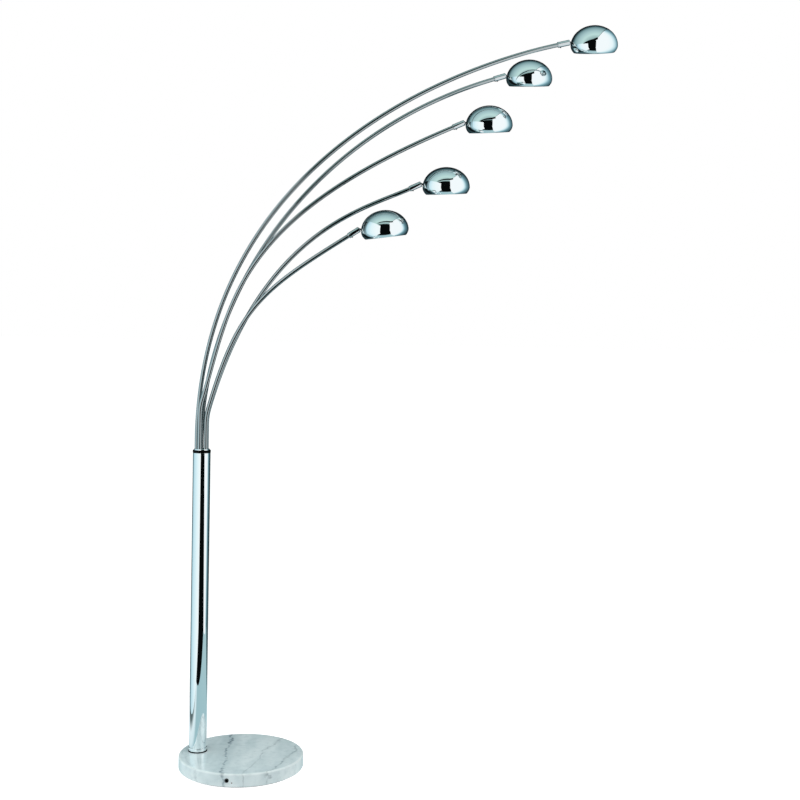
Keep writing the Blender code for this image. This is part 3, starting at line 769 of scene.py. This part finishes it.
def make_lamp_holder(arm, body, head, dome, axis_x):
    """A glazed holder with a waist and a lip, hung on a bent steel strap."""
    r, top, low = HOLDER_RADIUS, HOLDER_TOP, HOLDER_BOTTOM
    bore = BULB_CAP_RADIUS + 0.0006
    corners = [(0, top), (r * 0.62, top), (r * 0.70, top - 0.0035), (r, top - 0.0045), (r, low + 0.0075)]
    corners += [(r - 0.0009, low + 0.0068), (r - 0.0009, low + 0.0038), (r, low + 0.0031), (r, low)]
    corners += [(bore, low), (bore, low + 0.014), (0, low + 0.014)]
    radii = [0, 0.001, 0.0008, 0.001, 0.0006, 0.0003, 0.0003, 0.0006, 0.0008, 0.0005, 0, 0]
    outline = rounded(corners, radii)
    holder = turned(f"lamp_holder_{arm.number}", outline, dome, MEDIUM)
    finished(holder, "ceramic", body, f"head_{arm.number}_lamp_holder")

    t = STRAP_THICKNESS
    middle = STRAP_TO_BALL + t / 2
    height = STRAP_HEIGHT - t / 2
    corners = [(middle, -STRAP_HALF_WIDTH), (middle, STRAP_HALF_WIDTH)]
    corners = np.array([*corners, (STRAP_KNEE, height), (axis_x - r + 0.001, height)])
    line = [np.linspace(a, b, 16, endpoint=False) for a, b in zip(corners[:-1], corners[1:])]
    line = np.concatenate([*line, corners[-1:]])
    soft = np.ones(7) / 7
    padded = np.pad(line, ((3, 3), (0, 0)), mode="edge")
    smooth = np.stack([np.convolve(padded[:, k], soft, "valid") for k in (0, 1)], -1)
    smooth[0], smooth[-1] = line[0], line[-1]
    strap = bent_strip(f"holder_strap_{arm.number}", smooth, STRAP_HALF_WIDTH, t, head)
    finished(strap, "steel", body)


def make_bulb(arm, body, dome):
    """An opal globe in a threaded cap."""
    cap_low = HOLDER_BOTTOM - 0.002
    cap_top = HOLDER_BOTTOM + 0.0125
    outline = [(0, cap_low + 0.001), (BULB_CAP_RADIUS * 0.93, cap_low + 0.001)]
    neck = circle(0, BULB_CENTRE, BULB_RADIUS, 56, -90, 60)
    join = np.linspace(0, 1, 8)[1:-1, None]
    start = np.array([BULB_CAP_RADIUS * 0.93, cap_low])
    bow = start + (neck[0] - start) * join - np.array([[0.0006, 0]]) * np.sin(pi * join)
    outline = np.concatenate([outline, [start], bow, neck])
    outline[-1, 0] = 0
    globe = turned(f"bulb_globe_{arm.number}", outline, dome, MEDIUM)
    finished(globe, "bulb_glass", body, f"head_{arm.number}_bulb")

    z = np.linspace(cap_top - 0.001, cap_low + 0.0006, 80)
    thread = BULB_CAP_RADIUS - 0.0003 * (1 - np.cos(2 * pi * z / 0.0028))
    outline = [(0, cap_top), (BULB_CAP_RADIUS - 0.0015, cap_top)] + np.stack([thread, z], -1).tolist()
    outline += [(BULB_CAP_RADIUS - 0.0002, cap_low), (0, cap_low)]
    finished(turned(f"bulb_cap_{arm.number}", outline, dome, MEDIUM), "steel", body)


def make_arm(arm):
    """One arm with its sleeve and ball seat, then the head that nods on it."""
    root, sleeve, head = arm_places(arm)
    body = f"arm_{arm.number}"
    tube = carried(f"bent_arm_{arm.number}", arm_line(arm, root, sleeve), ARM_RADIUS)
    # The tube's darker chrome is painted shade.
    finished(tube, "chrome", body, f"arm_{arm.number}_tube", finish=SHADED_TUBE_CHROME)
    make_sleeve(arm, body, sleeve)
    make_ball_seat(arm, sleeve)
    body = f"head_{arm.number}"
    hole = SHADE_HOLE_ABOVE_WIDEST / SHADE_DOME
    axis_x = BALL_TO_SHADE + SHADE_RADIUS * sqrt(1 - hole * hole)
    dome = head @ Matrix.Translation((axis_x, 0, 0))
    make_ball_stud(arm, body, head)
    make_shade(arm, body, dome)
    make_lamp_holder(arm, body, head, dome, axis_x)
    make_bulb(arm, body, dome)


make_base()
make_pole()
for lamp_arm in ARMS:
    make_arm(lamp_arm)

SLOTS = {row["node"]: row["material_slot"] for row in frame["record"]["subparts"]}
for name, cad in frame["nodes"].items():
    if not cad.hide_render:
        cad.data.materials.clear()
        cad.data.materials.append(FINISHES[SLOTS[name]])


# ---------------------------------------------------------------- studio


def display(red, green, blue):
    """A colour given in display values from 0 to 255, as the light values that shaders take."""
    parts = np.array([red, green, blue]) / 255
    return tuple(np.where(parts <= 0.04045, parts / 12.92, ((parts + 0.055) / 1.055) ** 2.4).tolist())


def glowing(name, start, end, stops, axis=1):
    """A board that shines, its colour changing along an axis: stops are (x or y, display colour)."""
    made = bpy.data.materials.new(name)
    made.use_nodes = True
    tree = made.node_tree
    tree.nodes.clear()
    share = (apart(tree, node(tree, "ShaderNodeTexCoord", output=3), axis) - start) / (end - start)
    ramp = [((place - start) / (end - start), display(*colour)) for place, colour in stops]
    colour = node(tree, "ShaderNodeValToRGB", {"stops": ramp}, {"Fac": share})
    light = node(tree, "ShaderNodeEmission", None, {"Color": colour, "Strength": 1.0})
    out = tree.nodes.new("ShaderNodeOutputMaterial")
    tree.links.new(light.socket, out.inputs["Surface"])
    return made


def board(name, corners, material):
    """A run of flat boards, seen in the chrome and not by the camera. Each corner is (x, y, low, high)."""
    points = [(x, y, low) for x, y, low, high in corners] + [(x, y, high) for x, y, low, high in corners]
    count = len(corners)
    mesh = bpy.data.meshes.new(name)
    mesh.from_pydata(points, [], [(k, k + 1, k + 1 + count, k + count) for k in range(count - 1)])
    mesh.materials.append(material)
    thing = bpy.data.objects.new(name, mesh)
    bpy.context.scene.collection.objects.link(thing)
    thing.visible_camera = False
    thing.visible_shadow = False
    return thing


def flat(name, corners, material):
    """A flat board through its corners."""
    mesh = bpy.data.meshes.new(name)
    mesh.from_pydata(corners, [], [tuple(range(len(corners)))])
    mesh.materials.append(material)
    thing = bpy.data.objects.new(name, mesh)
    bpy.context.scene.collection.objects.link(thing)
    return thing


def level(name, x_range, y_range, height, material):
    """A level board over a rectangle."""
    (left, right), (near, far) = x_range, y_range
    corners = [(left, near, height), (right, near, height), (right, far, height), (left, far, height)]
    return flat(name, corners, material)


# The studio: two boards run from front to back beside the lamp, the hall closes the front, and three
# papers lie below. Each board's stops give its tone, as display values, at places along one axis.
FRONT_Y = -1.3
BACK_Y = 2.1
BACK_TOP = 2.2
PAPER_FRONT = -0.55
PAPER_BACK = 0.5
PAPER_HEIGHT = -0.002
FLOOR_HEIGHT = -0.0005
HALL_TOP = 2.38
LEFT_TOP = 1.93
RIGHT_TOP = 2.48
RAIL = 0.045
DARK = (6, 9, 10)
GREY = (34, 52, 57)
SHADED = (60, 86, 92)
LEFT_STOPS = (
    (-1.3, (250, 254, 255)), (-0.6, (243, 252, 254)), (-0.3, (232, 249, 253)), (0.0, (200, 231, 241)),
    (0.2, (150, 186, 196)), (0.34, (84, 108, 114)), (0.45, (14, 20, 23)), (1.15, (9, 13, 15)),
    (1.4, (46, 64, 68)), (2.1, (46, 64, 68)),
)
RIGHT_STOPS = (
    (-1.3, (250, 253, 255)), (-0.1, (249, 253, 255)), (0.03, (238, 250, 253)), (0.12, (206, 232, 238)),
    (0.28, (136, 175, 187)), (0.45, (98, 134, 143)), (0.8, (74, 104, 114)), (1.3, (46, 68, 75)),
    (2.1, (34, 52, 58)),
)
PAPER_STOPS = (
    (-0.50, (70, 84, 86)), (-0.41, (104, 120, 122)), (-0.33, (225, 240, 244)), (-0.25, (214, 233, 238)),
    (-0.19, (158, 192, 199)), (1.2, (172, 202, 207)),
)
WORLD_STOPS = (
    (-0.85, (140, 168, 168)), (-0.42, (193, 223, 219)), (0.0, (168, 198, 200)), (0.42, (125, 157, 161)),
    (0.58, (74, 101, 106)), (0.72, (26, 40, 44)), (1.0, (12, 18, 20)),
)
RIGHT_LINE = ((0.86, -1.15), (1.05, -0.5), (1.13, 0.0), (1.20, 0.5), (1.45, BACK_Y))
RAIL_CORNERS = ((-0.16, -0.54, 1.86, 1.97), (0.69, -0.53, 1.93, 2.15), (0.93, -0.50, 2.10, 2.30))
CLOTH_CORNERS = ((0.855, -1.16, 1.2), (0.855, -1.16, 0), (1.045, -0.51, 0))


def make_studio():
    """The boards, papers and cloths that the chrome reflects, the floor, and one lamp overhead."""
    left = glowing("left_board_white", FRONT_Y, BACK_Y, LEFT_STOPS)
    right = glowing("right_board_white", FRONT_Y, BACK_Y, RIGHT_STOPS)
    behind = glowing("back_board_grey", 0, 1, ((0, GREY), (1, GREY)))
    dark = glowing("dark_hall", 0, 1, ((0, DARK), (1, DARK)))
    board("left_board", [(-0.18, FRONT_Y, 0, LEFT_TOP), (-0.90, BACK_Y, 0, LEFT_TOP)], left)
    board("right_board", [(x, y, 0, RIGHT_TOP) for x, y in RIGHT_LINE], right)
    flat("right_cloth", CLOTH_CORNERS, dark).visible_camera = False
    board("right_rail", [(x, y, RIGHT_TOP, RIGHT_TOP + RAIL) for x, y in RIGHT_LINE], dark)
    board("back_board", [(-0.90, BACK_Y, 0, BACK_TOP), (1.45, BACK_Y, 0, BACK_TOP)], behind)
    board("hall", [(x, FRONT_Y - 0.1, -0.1, HALL_TOP) for x in (-0.9, 1.6)], dark)
    board("front_rail", RAIL_CORNERS, dark)

    pale = glowing("pale_paper", -0.5, 1.2, PAPER_STOPS, axis=0)
    shaded = glowing("paper_in_shade", 0, 1, ((0, SHADED), (1, SHADED)))
    papers = (
        level("paper", (-3, 3), (PAPER_FRONT, PAPER_BACK), PAPER_HEIGHT, pale),
        level("paper_back", (-3, 3), (PAPER_BACK, 4), PAPER_HEIGHT, shaded),
        level("hall_floor", (-4, 4), (-6, PAPER_FRONT), PAPER_HEIGHT, dark),
    )
    for paper in papers:
        paper.visible_camera = False
        paper.visible_shadow = False

    made, tree, shader = new_finish("pale_floor")
    wire(tree, shader, Base_Color=(0.25, 0.25, 0.25), Roughness=0.9)
    wire(tree, shader, Emission_Color=(1, 1, 1), Emission_Strength=0.97)
    ground = level("floor", (-60, 60), (-60, 60), FLOOR_HEIGHT, made)
    ground.visible_glossy = False

    key = bpy.data.lights.new("overhead", "AREA")
    key.shape = "RECTANGLE"
    key.size, key.size_y = 3.0, 3.0
    key.energy = 98
    lamp = bpy.data.objects.new("overhead", key)
    lamp.location = (0.2, -0.6, 3.4)
    lamp.visible_glossy = False
    lamp.visible_camera = False
    bpy.context.scene.collection.objects.link(lamp)


def make_world():
    """Plain white to the camera. In the chrome, a grey-green ceiling, palest in front, dark behind."""
    world = bpy.data.worlds.new("studio")
    bpy.context.scene.world = world
    world.use_nodes = True
    tree = world.node_tree
    tree.nodes.clear()
    share = (apart(tree, node(tree, "ShaderNodeTexCoord", output=0), 1) + 1.0) / 2.0
    ramp = [((y + 1) / 2, display(*colour)) for y, colour in WORLD_STOPS]
    colour = node(tree, "ShaderNodeValToRGB", {"stops": ramp}, {"Fac": share})
    colour = blended(tree, node(tree, "ShaderNodeLightPath", output=0), colour, (1, 1, 1))
    back = node(tree, "ShaderNodeBackground", None, {"Color": colour, "Strength": 1.0})
    out = tree.nodes.new("ShaderNodeOutputWorld")
    tree.links.new(back.socket, out.inputs["Surface"])


CAMERA_PLACE = (0.427, -3.117, 1.086)
CAMERA_DOWN = radians(2.57)
CAMERA_ROLL = radians(1.24)
LENS = 58.5
SHIFT = (-0.03125, -0.0225)


def make_camera():
    """Stands in front of the lamp and looks along +Y and a little down."""
    data = bpy.data.cameras.new("camera")
    data.sensor_width = 36
    data.lens = LENS
    data.shift_x, data.shift_y = SHIFT
    data.clip_end = 200
    camera = bpy.data.objects.new("camera", data)
    bpy.context.scene.collection.objects.link(camera)
    tip = Matrix.Rotation(pi / 2 - CAMERA_DOWN, 4, "X")
    camera.matrix_world = Matrix.Translation(CAMERA_PLACE) @ tip @ Matrix.Rotation(CAMERA_ROLL, 4, "Z")
    bpy.context.scene.camera = camera


make_studio()
make_world()
make_camera()
bpy.context.scene.view_settings.view_transform = "Standard"
